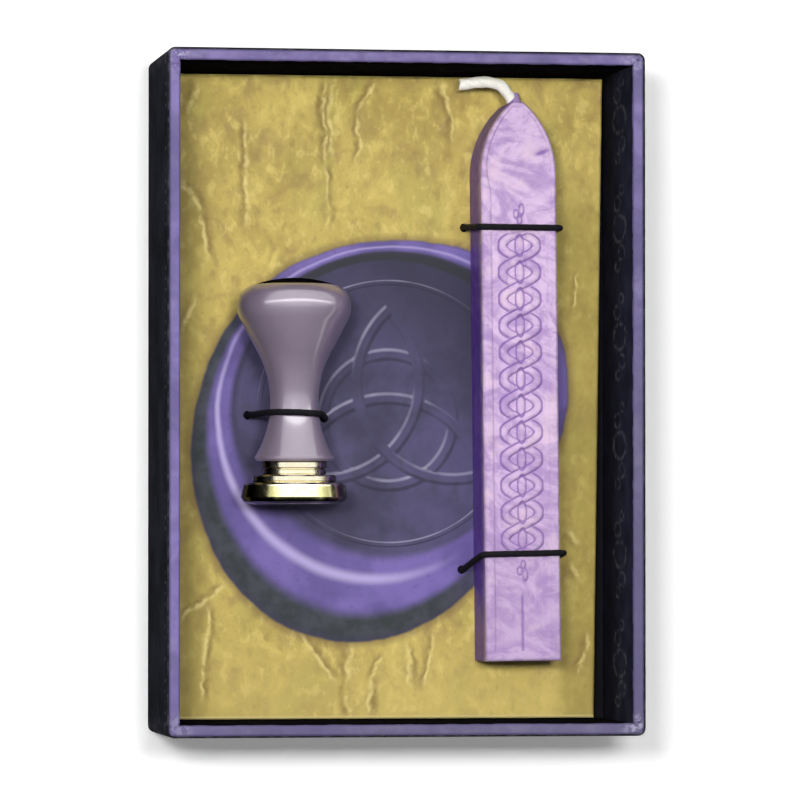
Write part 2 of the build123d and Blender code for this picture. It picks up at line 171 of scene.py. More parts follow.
class Surface:
    """A material whose pattern is placed by x, y and z, in mm, on the resting model."""

    def __init__(self, name):
        self.material = bpy.data.materials.new(name)
        self.material.use_nodes = True
        self.tree = self.material.node_tree
        self.shader = self.tree.nodes["Principled BSDF"]
        place = self.tree.nodes.new("ShaderNodeTexCoord")
        scaled = self.tree.nodes.new("ShaderNodeVectorMath")
        scaled.operation = "SCALE"
        scaled.inputs["Scale"].default_value = 1 / MM
        self.tree.links.new(place.outputs["Object"], scaled.inputs[0])
        self.place = Field(self.tree, scaled.outputs[0])
        parts = self.tree.nodes.new("ShaderNodeSeparateXYZ")
        self.tree.links.new(scaled.outputs[0], parts.inputs[0])
        self.x, self.y, self.z = (Field(self.tree, parts.outputs[i]) for i in range(3))

    def at(self, x, y, z=0.0):
        node = self.tree.nodes.new("ShaderNodeCombineXYZ")
        for socket, value in zip(node.inputs, (x, y, z)):
            feed(socket, value)
        return Field(self.tree, node.outputs[0])

    def noise(self, scale, place=None, detail=3.0, rough=0.55, warp=0.0):
        """Smooth noise around 0.5. scale is in features per unit of place, which is in mm."""
        node = self.tree.nodes.new("ShaderNodeTexNoise")
        feed(node.inputs["Vector"], place or self.place)
        node.inputs["Scale"].default_value = scale
        node.inputs["Detail"].default_value = detail
        node.inputs["Roughness"].default_value = rough
        node.inputs["Distortion"].default_value = warp
        return Field(self.tree, node.outputs["Fac"])

    def cells(self, scale, place=None, feature="F1"):
        """Distance to the nearest of scattered points, or to the edge between their cells."""
        node = self.tree.nodes.new("ShaderNodeTexVoronoi")
        node.feature = feature
        feed(node.inputs["Vector"], place or self.place)
        node.inputs["Scale"].default_value = scale
        return Field(self.tree, node.outputs["Distance"])

    def attribute(self, name):
        """A value kept at each point of a mesh, and 0 on meshes without it."""
        node = self.tree.nodes.new("ShaderNodeAttribute")
        node.attribute_name = name
        return Field(self.tree, node.outputs["Fac"])

    def bump(self, height, strength=1.0):
        """A normal from a height in mm."""
        node = self.tree.nodes.new("ShaderNodeBump")
        node.inputs["Strength"].default_value = strength
        node.inputs["Distance"].default_value = MM
        feed(node.inputs["Height"], height)
        return Field(self.tree, node.outputs[0])

    def set(self, **sockets):
        for name, value in sockets.items():
            feed(self.shader.inputs[name.replace("_", " ")], value)
        return self.material


# ---------------------------------------------------------------- materials
def greyboard():
    s = Surface("greyboard")
    flecks = s.noise(2.2, detail=5)
    tone = mix(step(flecks, 0.35, 0.68), srgb(116, 112, 104), srgb(158, 153, 142))
    return s.set(Base_Color=tone, Roughness=0.95, Normal=s.bump(flecks * 0.03))


def charcoal_paper():
    """Dyed book-cover paper, rubbed paler along its arrises."""
    s = Surface("charcoal_paper")
    fibre = s.noise(3.1, detail=5, rough=0.62)
    cloud = s.noise(0.11, detail=3)
    tone = mix(step(cloud, 0.3, 0.7), srgb(30, 31, 35), srgb(41, 42, 48))
    tone = mix(step(fibre, 0.58, 0.8) * 0.35, tone, srgb(74, 73, 80))
    corner_at = TRAY_HALF_W + TRAY_HALF_L
    corner = step(absolute(s.x) + absolute(s.y), corner_at - 3.4, corner_at - 0.4)
    arris = step(s.z, TRAY_TOP - 0.6, TRAY_TOP) * 0.5
    rubbed = (corner * 0.6 + arris) * step(s.noise(0.5, detail=3), 0.42, 0.66)
    tone = mix(calc("MINIMUM", rubbed, 1.0), tone, srgb(84, 82, 92))
    pitch, row_z = 1.7, 25.2  # of a row of pale printed specks below the rim
    from_speck = length(repeated(s.y, pitch), s.z - row_z)
    specks = step(from_speck, 0.42, 0.1) * step(s.noise(0.35, detail=2), 0.42, 0.6)
    on_side = step(absolute(s.x), TRAY_HALF_W - 0.4, TRAY_HALF_W - 0.2)
    tone = mix(specks * on_side * 0.6, tone, srgb(124, 126, 132))
    spots = step(s.cells(0.19), 0.055, 0.02) * step(s.noise(0.06), 0.45, 0.6)
    tone = mix(spots * 0.5, tone, srgb(104, 103, 110))
    height = fibre * 0.02 + s.noise(0.7) * 0.03
    return s.set(
        Base_Color=tone, Roughness=0.8, Specular_IOR_Level=0.0, Normal=s.bump(height)
    )


def lilac_paper():
    """Marbled lilac paper, paler at its folded corners from wear and a painted highlight, with
    painted shade along its inner arris.
    """
    s = Surface("lilac_paper")
    cloud = s.noise(0.16, detail=4, rough=0.6, warp=0.8)
    streak = s.noise(0.5, place=s.at(s.x * 0.6, s.y * 0.6, s.z + 7.0), detail=4)
    tone = mix(step(cloud, 0.34, 0.66), srgb(102, 91, 138), srgb(126, 114, 163))
    tone = mix(step(streak, 0.52, 0.7) * 0.5, tone, srgb(143, 136, 168))
    tone = mix(step(s.noise(0.3, detail=5), 0.56, 0.72) * 0.5, tone, srgb(90, 86, 114))
    # greyer and darker towards the lower right
    dimmed = step(s.x * 0.8 - s.y, 4.0, 40.0)
    tone = mix(dimmed * 0.62, tone, srgb(86, 83, 102))
    tone = mix(step(s.x, 0.5 - WALL_X, -WALL_X) * 0.4, tone, srgb(126, 110, 172))
    aside, ahead = absolute(s.x), absolute(s.y)
    from_corner = length(aside - (TRAY_HALF_W + WALL_X) / 2, ahead - (TRAY_HALF_L + WALL_Y) / 2)
    # paler at each corner of the rim: rubbed wear, and a painted highlight on the folds
    worn = step(from_corner, 3.6, 0.8) * step(s.noise(1.3, detail=4), 0.42, 0.6)
    tone = mix(worn * 0.65, tone, srgb(176, 170, 196))
    # dark flecks close to each corner of the rim
    corner_flecks = step(from_corner, 2.8, 1.0) * step(s.noise(1.7, detail=3), 0.56, 0.66)
    tone = mix(corner_flecks * 0.85, tone, srgb(46, 34, 84))
    tone = mix(step(s.noise(0.09, detail=2), 0.48, 0.62) * 0.5, tone, srgb(84, 76, 116))
    seam = step(aside, TRAY_HALF_W - 0.7, TRAY_HALF_W - 0.35)
    seam = seam + step(ahead, TRAY_HALF_L - 0.7, TRAY_HALF_L - 0.35)
    tone = mix(calc("MINIMUM", seam, 1.0) * 0.7, tone, srgb(58, 50, 88))
    # painted shade along the inner arris, where the paper turns down into the tray
    fold = step(aside, WALL_X + 0.35, WALL_X + 0.1) * step(ahead, WALL_Y + 0.35, WALL_Y + 0.1)
    tone = mix(fold * 0.55, tone, srgb(66, 56, 98))
    height = s.noise(2.6, detail=5) * 0.03 + s.noise(0.5) * 0.05
    return s.set(
        Base_Color=tone, Roughness=0.6, Specular_IOR_Level=0.3, Normal=s.bump(height)
    )


def night_paper():
    """Near-black lining, printed faintly with rings between small curls, with painted shade low on
    the walls and over the end walls.
    """
    s = Surface("night_paper")
    pitch, first_ring, middle_z, squash = 17.4, 9.4, 17.0, 0.42
    on_side = step(absolute(s.x), WALL_X - 0.1, WALL_X - 0.05)
    along = s.y * on_side + s.x * (1.0 - on_side)
    cell = repeated(along, pitch, first_ring - pitch / 2)
    up = (s.z - middle_z + (s.noise(0.3) - 0.5) * 1.6) * squash
    line = hump(length(cell, up), 2.1, 0.6)
    for side in (-1.0, 1.0):
        curl = length(cell - side * 4.0, up + side * 0.7)
        line = calc("MAXIMUM", line, hump(curl, 1.1, 0.5) * step(up * side, 0.9, -0.1))
        tail = length(cell - side * 6.1, up - side * 0.6)
        line = calc("MAXIMUM", line, hump(tail, 0.75, 0.45) * step(up * side, -0.6, 0.3))
    dimmed = step(s.noise(0.9, detail=4), 0.38, 0.62)
    tone = mix(step(s.noise(0.2, detail=4), 0.3, 0.7), srgb(44, 45, 60), srgb(58, 60, 78))
    # painted shade: darker towards the bottom of the walls
    tone = mix(step(s.z, 19.0, 8.0) * 0.7, tone, srgb(22, 23, 29))
    tone = mix(line * dimmed * 0.7, tone, srgb(104, 108, 114))
    # painted shade: the end walls are made near black
    tone = mix((1.0 - on_side) * 0.9, tone, srgb(22, 21, 21))
    height = s.noise(2.8, detail=4) * 0.02
    return s.set(
        Base_Color=tone, Roughness=0.8, Specular_IOR_Level=0.0, Normal=s.bump(height)
    )


def card():
    s = Surface("card")
    fibre = s.noise(1.9, detail=5)
    tone = mix(step(fibre, 0.35, 0.65), srgb(176, 168, 150), srgb(203, 196, 180))
    return s.set(Base_Color=tone, Roughness=0.9, Normal=s.bump(fibre * 0.02))


# The picture on the platform, mm
SEAL_CENTRE = (0.33, -2.74)
SEAL_RADIUS = 31.2
SEAL_LOBES = [(1, 3.6, -121), (2, 2.7, 109), (3, 1.2, 57)]  # waves round it, size, direction
SEAL_LINE_RADIUS = 21.1  # raised line round the pressed disc
KNOT_CENTRE = (0.17, -3.79)
KNOT_ARC_RADIUS, KNOT_ARC_OFFSET, KNOT_TIP = 15.6, 12.15, 17.5
KNOT_RING_RADIUS, KNOT_HALF_WIDTH = 10.55, 0.9
PRINT_LIGHT = (-0.42, 0.91)  # where the picture's own light comes from


# Creases of the parchment, mm: from, to, width, and the side that is in shade
CREASES = [
    ((-9.2, 51.2), (-9.4, 38.8), 0.50, 1),
    ((-10.3, 51.0), (-10.4, 37.5), 0.35, 1),
    ((-10.4, 36.9), (-9.6, 27.4), 0.42, -1),
    ((-2.0, 51.0), (-4.4, 45.7), 0.38, 1),
    ((-4.4, 45.7), (-4.9, 37.9), 0.34, 1),
    ((-30.7, 50.2), (-32.3, 45.0), 0.50, 1),
    ((-32.7, 34.7), (-30.2, 29.5), 0.55, -1),
    ((-30.2, 29.5), (-29.2, 22.2), 0.45, -1),
    ((-22.9, 44.1), (-22.6, 27.6), 0.40, 1),
    ((-32.9, 10.5), (-31.6, 16.0), 0.45, 1),
    ((-33.0, -35.8), (-26.4, -30.4), 0.45, 1),
    ((-29.2, -34.0), (-29.8, -48.5), 0.40, -1),
    ((-14.2, -37.8), (-8.8, -45.8), 0.45, -1),
    ((-7.0, -45.6), (-6.1, -51.5), 0.42, 1),
    ((-5.4, -39.6), (-6.9, -45.4), 0.50, 1),
    ((-1.0, -41.3), (-2.6, -45.4), 0.38, 1),
    ((-2.6, -45.4), (-3.2, -51.5), 0.45, -1),
    ((3.0, -40.2), (4.2, -46.4), 0.40, -1),
    ((7.4, -38.2), (6.2, -46.6), 0.35, 1),
    ((8.7, 50.6), (10.6, 41.5), 0.38, 1),
    ((31.2, 20.0), (30.6, 14.5), 0.30, 1),
    ((29.6, -21.4), (31.4, -23.6), 0.60, 1),
    ((30.0, -27.2), (31.2, -29.6), 0.55, 1),
    ((32.6, -38.5), (31.2, -44.6), 0.40, 1),
]


def creases(s):
    """How lit, and how shaded, each place is by the creases near it."""
    wander = (s.noise(0.16, detail=3, rough=0.6) - 0.5) * 4.0
    worn = step(s.noise(0.5, detail=3), 0.32, 0.6)
    lit = shaded = None
    for (x0, y0), (x1, y1), width, side in CREASES:
        span = hypot(x1 - x0, y1 - y0)
        ux, uy = (x1 - x0) / span, (y1 - y0) / span
        x, y = s.x - x0, s.y - y0
        along = x * ux + y * uy
        across = x * uy - y * ux + wander
        within = step(along, -1.2, 1.6) * step(along, span + 1.2, span - 1.6)
        light = hump(across, 0.0, width * 1.35) * within
        shade = hump(across, -side * uy * width * 1.7, width * 2.2) * within
        lit = light if lit is None else calc("MAXIMUM", lit, light)
        shaded = shade if shaded is None else calc("MAXIMUM", shaded, shade)
    return lit * worn, shaded * (0.45 + worn * 0.55)


def parchment(s):
    """Crumpled mustard skin: its colour and its relief, with painted shade along its left side and
    right of the stick, and a painted highlight on its lower folded edge.
    """
    place = s.at(s.x, s.y * 0.8, s.z)
    broad = s.noise(0.06, place=place, detail=3, rough=0.6, warp=0.5)
    blotch = s.noise(0.24, place=s.at(s.x, s.y * 0.8, s.z + 31.0), detail=4, rough=0.55, warp=0.5)
    soft = s.noise(0.5, place=s.at(s.x * 1.1, s.y * 0.7, s.z), detail=3, rough=0.5)
    fleck = s.noise(1.1, place=place, detail=4, rough=0.6)
    tone = mix(step(broad, 0.36, 0.62), srgb(177, 156, 86), srgb(199, 178, 100))
    tone = mix(step(blotch, 0.5, 0.7) * 0.62, tone, srgb(160, 136, 86))
    tone = mix(step(blotch, 0.48, 0.32) * 0.7, tone, srgb(216, 196, 112))
    green = s.noise(0.13, place=s.at(s.x + 60.0, s.y * 0.4, s.z), detail=3)
    tone = mix(step(green, 0.54, 0.7) * 0.42, tone, srgb(168, 162, 86))
    tone = mix(step(soft, 0.52, 0.74) * 0.48, tone, srgb(150, 128, 78))
    tone = mix(step(soft, 0.46, 0.3) * 0.55, tone, srgb(222, 203, 124))
    tone = mix(step(fleck, 0.55, 0.75) * 0.28, tone, srgb(138, 118, 70))
    tone = mix(step(fleck, 0.44, 0.26) * 0.25, tone, srgb(220, 203, 128))
    tone = mix(step(s.y, -34.0, -50.0) * 0.4, tone, srgb(204, 183, 108))
    # painted shade: darker along the left side, and between the stick and the right wall
    left = step(s.x, -25.0, -33.0) * step(s.y, 44.0, 30.0)
    right = step(s.x, 27.0, 30.0) * step(s.y, 40.0, 24.0)
    tone = mix((left + right) * 0.5, tone, srgb(138, 124, 64))
    lit, shaded = creases(s)
    tone = mix(shaded * 0.6, tone, srgb(122, 98, 58))
    tone = mix(lit * 0.6, tone, srgb(238, 221, 150))
    # painted highlight along the lower folded edge
    tone = mix(step(s.y, -51.2, -51.5) * 0.6, tone, srgb(232, 214, 150))
    return tone, fleck * 0.04 + soft * 0.06 + lit * 0.05


def strand(distance, cos_out, sin_out, radius, half_width):
    """One printed ribbon along a circle: how far it covers, and how its edges are lit."""
    across = (distance - radius) / half_width
    cover = step(absolute(across), 1.15, 0.85)
    lit = cos_out * PRINT_LIGHT[0] + sin_out * PRINT_LIGHT[1]
    outer, inner = hump(across, 0.85, 0.6), hump(across, -0.85, 0.6)
    return cover, (outer - inner) * lit - (outer + inner) * 0.22


def knot(s):
    """The three-lobed knot and its ring: light added and taken where the ribbons' edges are."""
    x, y = s.x - KNOT_CENTRE[0], s.y - KNOT_CENTRE[1]
    reach = length(x, y)
    strands = [strand(reach, x / reach, y / reach, KNOT_RING_RADIUS, KNOT_HALF_WIDTH)]
    for turn in (0, 120, 240):
        c, d = cos(radians(turn)), sin(radians(turn))
        u, v = x * c + y * d, y * c - x * d
        w = v + KNOT_ARC_OFFSET
        out = length(u, w)
        cover, light = strand(
            out, (u * c - w * d) / out, (u * d + w * c) / out, KNOT_ARC_RADIUS, KNOT_HALF_WIDTH
        )
        inside = step(v, -KNOT_TIP / 2 - 0.5, -KNOT_TIP / 2 + 0.1)
        strands.append((cover * inside, light * inside))
    total = strands[0][1]
    for cover, light in (strands[1], strands[3], strands[2]):
        total = total * (1.0 - cover) + light
    return total


def parchment_print():
    """Creased parchment with a picture of a dark violet wax seal."""
    s = Surface("parchment_print")
    skin, relief = parchment(s)
    x, y = s.x - SEAL_CENTRE[0], s.y - SEAL_CENTRE[1]
    reach = length(x, y)
    cos_out, sin_out = x / reach, y / reach
    angle = calc("ARCTAN2", y, x)
    edge = SEAL_RADIUS + (s.noise(0.2) - 0.5) * 0.8
    for lobes, size, turn in SEAL_LOBES:
        edge = edge + calc("COSINE", angle * float(lobes) - radians(turn)) * size
    inner = 24.6 - step(sin_out, 0.2, -0.9) * 1.6
    ring = (edge - reach) / (edge - inner)  # 0 at the seal's outside, 1 at the pressed disc
    cover = step(edge - reach, -0.25, 0.35)

    to_lower_left = cos_out * -0.75 + sin_out * -0.66
    lower_left = step(to_lower_left, -0.25, 0.45)
    top = step(sin_out, 0.1, 0.8)
    speck = s.noise(0.8, detail=5, rough=0.65)
    violet = mix(step(s.noise(0.12, detail=3), 0.35, 0.65), srgb(98, 86, 142), srgb(122, 106, 172))
    violet = mix(step(speck, 0.55, 0.75) * 0.4, violet, srgb(72, 66, 100))
    slate = mix(step(s.noise(0.35, detail=3), 0.35, 0.66), srgb(56, 61, 63), srgb(70, 72, 79))
    disc = mix(step(s.noise(0.1, detail=4), 0.35, 0.68), srgb(66, 63, 86), srgb(87, 82, 115))
    smoke = s.noise(0.5, place=s.at(s.x, s.y * 0.5), detail=5)
    disc = mix(step(smoke, 0.52, 0.74) * 0.45, disc, srgb(66, 66, 78))
    upper_right = step(cos_out * 0.8 + sin_out * 0.6, 0.1, 0.95) * step(reach, 8.0, 22.0)
    disc = mix(upper_right * 0.75, disc, srgb(58, 57, 68))
    disc = mix(step(y, 2.0, 18.0) * 0.5, disc, srgb(56, 53, 74))
    wax = mix(step(ring, 0.42, 0.24) * lower_left, violet, slate)
    wax = mix(step(ring, 0.12, 0.0) * 0.6, wax, srgb(64, 60, 84))
    wax = mix(step(ring, 0.42, 0.62) * top, wax, srgb(54, 55, 61))
    left = step(-cos_out, 0.5, 0.95)
    wax = mix(step(ring, 0.72, 0.9) * left * 0.85, wax, srgb(58, 57, 70))
    streak_at = 0.53 - sin_out * 0.2
    streak = hump(ring - streak_at, 0.0, 0.1)
    bright = calc("MAXIMUM", step(to_lower_left, 0.2, 0.8), top * 0.62)
    bright = calc("MAXIMUM", bright, left * 0.5)
    wax = mix(hump(ring - streak_at, 0.0, 0.4) * bright * 0.3, wax, srgb(120, 106, 168))
    wax = mix(streak * bright * 0.9, wax, srgb(184, 172, 216))
    wax = mix(step(ring, 0.9, 1.06), wax, disc)

    _, line_light = strand(reach, cos_out, sin_out, SEAL_LINE_RADIUS, 0.4)
    worn = 0.55 + step(s.noise(0.16, detail=3), 0.3, 0.7) * 0.45
    light = (knot(s) + line_light) * worn
    wax = mix(step(light, 0.12, 0.95, soft=False) * 0.85, wax, srgb(172, 170, 190))
    wax = mix(step(light, -0.1, -0.8, soft=False) * 0.6, wax, srgb(44, 44, 54))

    glow = step(reach - edge, 1.6, 0.0) * 0.55
    skin = mix(glow, skin, srgb(112, 90, 62))
    tone = mix(cover, skin, wax)
    height = relief * (1.0 - cover) + s.noise(3.0, detail=3) * 0.006
    return s.set(
        Base_Color=tone,
        Roughness=0.5,
        Specular_IOR_Level=0.12,
        Normal=s.bump(height, 0.5),
    )


def black_elastic():
    s = Surface("black_elastic")
    fibre = s.noise(6.0, detail=3)
    tone = mix(step(fibre, 0.4, 0.7), srgb(9, 8, 11), srgb(27, 24, 30))
    return s.set(
        Base_Color=tone, Roughness=0.8, Specular_IOR_Level=0.2, Normal=s.bump(fibre * 0.05)
    )


def mauve_lacquer():
    """Thick glossy paint over turned wood, with faint turning rings under it."""
    s = Surface("mauve_lacquer")
    rings = s.noise(2.4, place=s.at(0.0, s.y, 0.0), detail=3)
    cloud = s.noise(0.12, detail=3)
    tone = mix(step(cloud, 0.3, 0.7), srgb(127, 113, 133), srgb(138, 124, 144))
    tone = mix(step(rings, 0.55, 0.75) * 0.16, tone, srgb(112, 98, 120))
    dust = step(s.cells(0.8), 0.07, 0.03) * step(s.noise(0.3), 0.5, 0.6)
    tone = mix(dust * 0.4, tone, srgb(206, 196, 210))
    height = s.noise(0.5, detail=2) * 0.05 + rings * 0.006
    return s.set(
        Base_Color=tone,
        Roughness=0.4,
        Specular_IOR_Level=0.8,
        Coat_Weight=1.0,
        Coat_IOR=2.0,
        Coat_Roughness=0.16,
        Normal=s.bump(height, 0.5),
    )


def black_plastic():
    s = Surface("black_plastic")
    scuff = s.noise(1.6, detail=5, rough=0.7)
    # near black: the handle's end cap stands in for a dark crescent of shade at the handle's end
    tone = mix(step(scuff, 0.45, 0.75), srgb(12, 11, 14), srgb(27, 25, 31))
    return s.set(
        Base_Color=tone,
        Roughness=0.7,
        Specular_IOR_Level=0.0,
        Normal=s.bump(scuff * 0.01),
    )


def brass():
    """Turned and polished brass: fine rings, dark tarnish kept in the engraved grooves, and
    painted shade on its disc, its sides and the shoulder round its die.
    """
    s = Surface("brass")
    turned = s.noise(5.0, place=s.at(0.0, s.y, 0.0), detail=4)
    across = length(s.x - STAMP_X, s.z - STAMP_Z)
    rings = s.noise(4.0, place=s.at(across, 0.0, 3.0), detail=4)
    cloud = s.noise(0.5, detail=4)
    tone = mix(step(cloud, 0.3, 0.7), srgb(243, 235, 205), srgb(249, 242, 218))
    tone = mix(step(turned, 0.6, 0.8) * 0.12, tone, srgb(204, 188, 130))
    band_y, shoulder_y, face_y = -14.4, -16.2, -17.4  # down the head, towards its die
    # painted shade: the disc below this band is a darker olive, so that it reflects the lamps less
    tone = mix(step(s.y, band_y, band_y - 0.3) * 0.8, tone, srgb(168, 166, 96))
    upward = (s.z - STAMP_Z) / across  # 1 along the top, 0 where its sides stand upright
    # painted dark reflection: darker where the sides turn away from the top
    tone = mix(step(upward, 0.74, 0.48) * 0.92, tone, srgb(44, 38, 26))
    die = step(across, 7.5, 7.1)
    # painted shade: the shoulder round the die is near black
    tone = mix(step(s.y, shoulder_y, shoulder_y - 0.6) * (1.0 - die), tone, srgb(36, 32, 24))
    engraved = die * step(s.y, face_y + 0.02, face_y + 0.2)
    engraved = engraved * step(s.y, face_y + 0.8, face_y + 0.5)
    tone = mix(engraved, tone, srgb(58, 46, 26))
    rough = 0.17 + step(s.noise(1.1, detail=4), 0.4, 0.75) * 0.08
    height = turned * 0.003 + rings * 0.004
    return s.set(Base_Color=tone, Metallic=1.0, Roughness=rough, Normal=s.bump(height, 0.4))


def lilac_wax():
    """Pearly lilac sealing wax with the darker swirls of its pouring, and painted shade in its
    grooves and on its walls.
    """
    s = Surface("lilac_wax")
    bend = s.noise(0.09, detail=2) * 14.0
    swirl = s.noise(
        0.15, place=s.at(s.x * 0.7 + bend * 0.4, s.y + s.x * 0.4, s.z * 0.6), detail=3, warp=3.0
    )
    fine = s.noise(0.4, place=s.at(s.x + bend * 0.5, s.y * 1.2, s.z), detail=3, warp=2.4)
    tone = mix(step(swirl, 0.34, 0.64), srgb(176, 147, 196), srgb(213, 186, 220))
    tone = mix(step(fine, 0.52, 0.7) * 0.35, tone, srgb(158, 130, 184))
    tone = mix(step(fine, 0.46, 0.28) * 0.35, tone, srgb(236, 214, 232))
    cloudy = s.noise(0.22, place=s.at(s.x, s.y, 40.0), detail=3)
    tone = mix(step(cloudy, 0.52, 0.7) * 0.5, tone, srgb(232, 206, 222))
    groove = s.attribute("groove")
    # painted shade in the grooves, the dent and along the left border of the sunk panel
    tone = mix(step(groove, 0.15, 0.95) * 0.8, tone, srgb(122, 84, 164))
    tone = mix(step(s.y, 0.0, -40.0) * 0.35, tone, srgb(158, 134, 178))
    front_z, tip_y = PLATFORM_TOP + WAX_THICKNESS, WAX_FOOT[1] + WAX_LENGTH
    # painted shade: the walls are a darker, deeper violet than the front, and the end wall at the
    # tip is paler
    side = step(s.z, front_z - 0.2, front_z - 3.4)
    tone = mix(side, tone, mix(step(swirl, 0.4, 0.64), srgb(104, 66, 172), srgb(122, 86, 182)))
    tone = mix(step(s.y, tip_y - 0.7, tip_y - 0.2) * side, tone, srgb(164, 138, 186))
    pearl = s.noise(7.0, detail=3, rough=0.7)
    height = s.noise(0.7, detail=4) * 0.10 + fine * 0.05 + pearl * 0.01
    return s.set(
        Base_Color=tone,
        Roughness=0.45,
        Specular_IOR_Level=0.2,
        Subsurface_Weight=0.15,
        Subsurface_Radius=(0.6, 0.3, 0.8),
        Subsurface_Scale=MM,
        Normal=s.bump(height, 0.6),
    )


def waxed_cotton():
    s = Surface("waxed_cotton")
    fibre = s.noise(3.0, detail=4)
    tone = mix(step(fibre, 0.4, 0.7), srgb(247, 244, 232), srgb(255, 253, 246))
    return s.set(Base_Color=tone, Roughness=0.6, Normal=s.bump(fibre * 0.04))


MATERIALS = {
    make.__name__: make()
    for make in (
        greyboard,
        charcoal_paper,
        lilac_paper,
        night_paper,
        card,
        parchment_print,
        black_elastic,
        mauve_lacquer,
        black_plastic,
        brass,
        lilac_wax,
        waxed_cotton,
    )
}

NODE_SLOTS = {
    "base_board": "greyboard",
    "left_side_board": "greyboard",
    "right_side_board": "greyboard",
    "upper_end_board": "greyboard",
    "lower_end_board": "greyboard",
    "cover_paper": "charcoal_paper",
    "rim_edging": "lilac_paper",
    "wall_lining": "night_paper",
    "floor_lining": "night_paper",
    "base_sheet": "charcoal_paper",
    "platform_card": "card",
    "printed_face": "parchment_print",
    "stamp_elastic": "black_elastic",
    "wax_elastic_upper": "black_elastic",
    "wax_elastic_lower": "black_elastic",
    "stamp_handle": "mauve_lacquer",
    "handle_cap": "black_plastic",
    "threaded_bush": "brass",
    "seal_head": "brass",
    "wax_stick": "lilac_wax",
    "wick": "waxed_cotton",
}
for node_name, slot_name in NODE_SLOTS.items():
    node = frame["nodes"][node_name]
    node.data.materials.clear()
    node.data.materials.append(MATERIALS[slot_name])


# ---------------------------------------------------------------- mesh making
def add_mesh(name, points, faces, body, slot, replaced=(), attributes=None, sharp=40):
    """A smooth mesh from points in mm that rides on a body in place of the named nodes."""
    mesh = bpy.data.meshes.new(name)
    mesh.from_pydata((np.asarray(points, float) * MM).tolist(), [], faces)
    for key, values in (attributes or {}).items():
        layer = mesh.attributes.new(key, "FLOAT", "POINT")
        layer.data.foreach_set("value", np.asarray(values, np.float32))
    mesh.validate()
    mesh.shade_smooth()
    mesh.set_sharp_from_angle(angle=radians(sharp))
    mesh.materials.append(MATERIALS[slot])
    piece = bpy.data.objects.new(name, mesh)
    bpy.context.scene.collection.objects.link(piece)
    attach(piece, body)
    if replaced:
        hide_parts(*replaced)
    return piece


def grid_faces(rows, columns, closed=False):
    """Quads between rows of points; closed joins each row's last point to its first."""
    r, c = np.meshgrid(np.arange(rows - 1), np.arange(columns if closed else columns - 1))
    r, c = r.ravel(), c.ravel()
    following = (c + 1) % columns
    quads = [r * columns + c, r * columns + following]
    quads += [(r + 1) * columns + following, (r + 1) * columns + c]
    return np.stack(quads, axis=1).tolist()


def ease(value, low, high):
    """The same easing as step, on plain numbers."""
    t = np.clip((np.asarray(value, float) - low) / (high - low), 0, 1)
    return t * t * (3 - 2 * t)


def ripple(points, scale, seed=0.0):
    """Smooth noise between about -1 and 1 at each of some points in mm."""
    shift = Vector((seed, -seed, 2 * seed))
    return np.array([noise.noise(Vector(p) * scale + shift) for p in points])


def frames(path):
    """Unit tangent and two unit normals at each point of a path, without twist."""
    tangents = np.gradient(path, axis=0)
    tangents /= np.linalg.norm(tangents, axis=1)[:, None]
    normal = np.cross(tangents[0], (0.31, 0.87, 0.4))
    first = []
    for tangent in tangents:
        normal = normal - tangent * np.dot(normal, tangent)
        normal /= np.linalg.norm(normal)
        first.append(normal)
    first = np.array(first)
    return tangents, first, np.cross(tangents, first)


def tube(path, radius, sides):
    """Points and faces of a capped tube; radius(turn, travelled) gives its surface in mm."""
    path = np.asarray(path, float)
    _, first, second = frames(path)
    travelled = np.concatenate([[0], np.cumsum(np.linalg.norm(np.diff(path, axis=0), axis=1))])
    turn = np.linspace(0, 2 * pi, sides, endpoint=False)
    reach = radius(turn[None, :], travelled[:, None])
    ring = first[:, None] * np.cos(turn)[:, None] + second[:, None] * np.sin(turn)[:, None]
    points = (path[:, None] + ring * reach[..., None]).reshape(-1, 3)
    faces = grid_faces(len(path), sides, closed=True)
    faces.append(list(range(sides))[::-1])
    faces.append([(len(path) - 1) * sides + i for i in range(sides)])
    return points, faces


def taut_route(points, radii, pitch=0.12):
    """A pulled cord's line: straight runs joined by tangent arcs, as points this far apart."""
    points = [np.asarray(p, float) for p in points]
    line = [points[0]]
    for before, corner, after, radius in zip(points, points[1:], points[2:], radii):
        a, b = before - corner, after - corner
        a, b = a / np.linalg.norm(a), b / np.linalg.norm(b)
        half = np.arccos(np.clip(np.dot(a, b), -1, 1)) / 2
        start = corner + a * radius / tan(half)
        centre = corner + (a + b) / np.linalg.norm(a + b) * radius / sin(half)
        spoke = start - centre
        sweep = pi - 2 * half
        steps = max(2, int(radius * sweep / pitch))
        across = -a * radius
        for i in range(steps + 1):
            t = sweep * i / steps
            line.append(centre + spoke * cos(t) + across * sin(t))
    line.append(points[-1])
    dense = [line[0]]
    for p in line[1:]:
        gap = np.linalg.norm(p - dense[-1])
        count = int(gap / pitch)
        start = dense[-1]
        dense += [start + (p - start) * i / (count + 1) for i in range(1, count + 1)]
        if gap > 1e-6:
            dense.append(p)
    return np.array(dense)


# ---------------------------------------------------------------- elastics
CORD_RADIUS, CORD_CLEARANCE, CORD_BEND = 0.5, 0.06, 0.9
KNOT_Z, KNOT_REACH, KNOT_RISE, KNOT_CORD_RADIUS = 3.75, 0.2108, 0.42, 0.4
HOLE_EXIT = 0.9
NECK_RADIUS, NECK_Y, NECK_ARC = 3.86, -1.2, 16.5
# each cord's left and right hole, and the Y where it crosses over
STAMP_CORD = ((-22.6, -3.1), (-10.2, -3.5), -2.9)
UPPER_WAX_CORD = ((12.6, 27.3), (26.75, 26.7), 26.9)
LOWER_WAX_CORD = ((12.2, -27.9), (27.5, -25.9), -25.4)


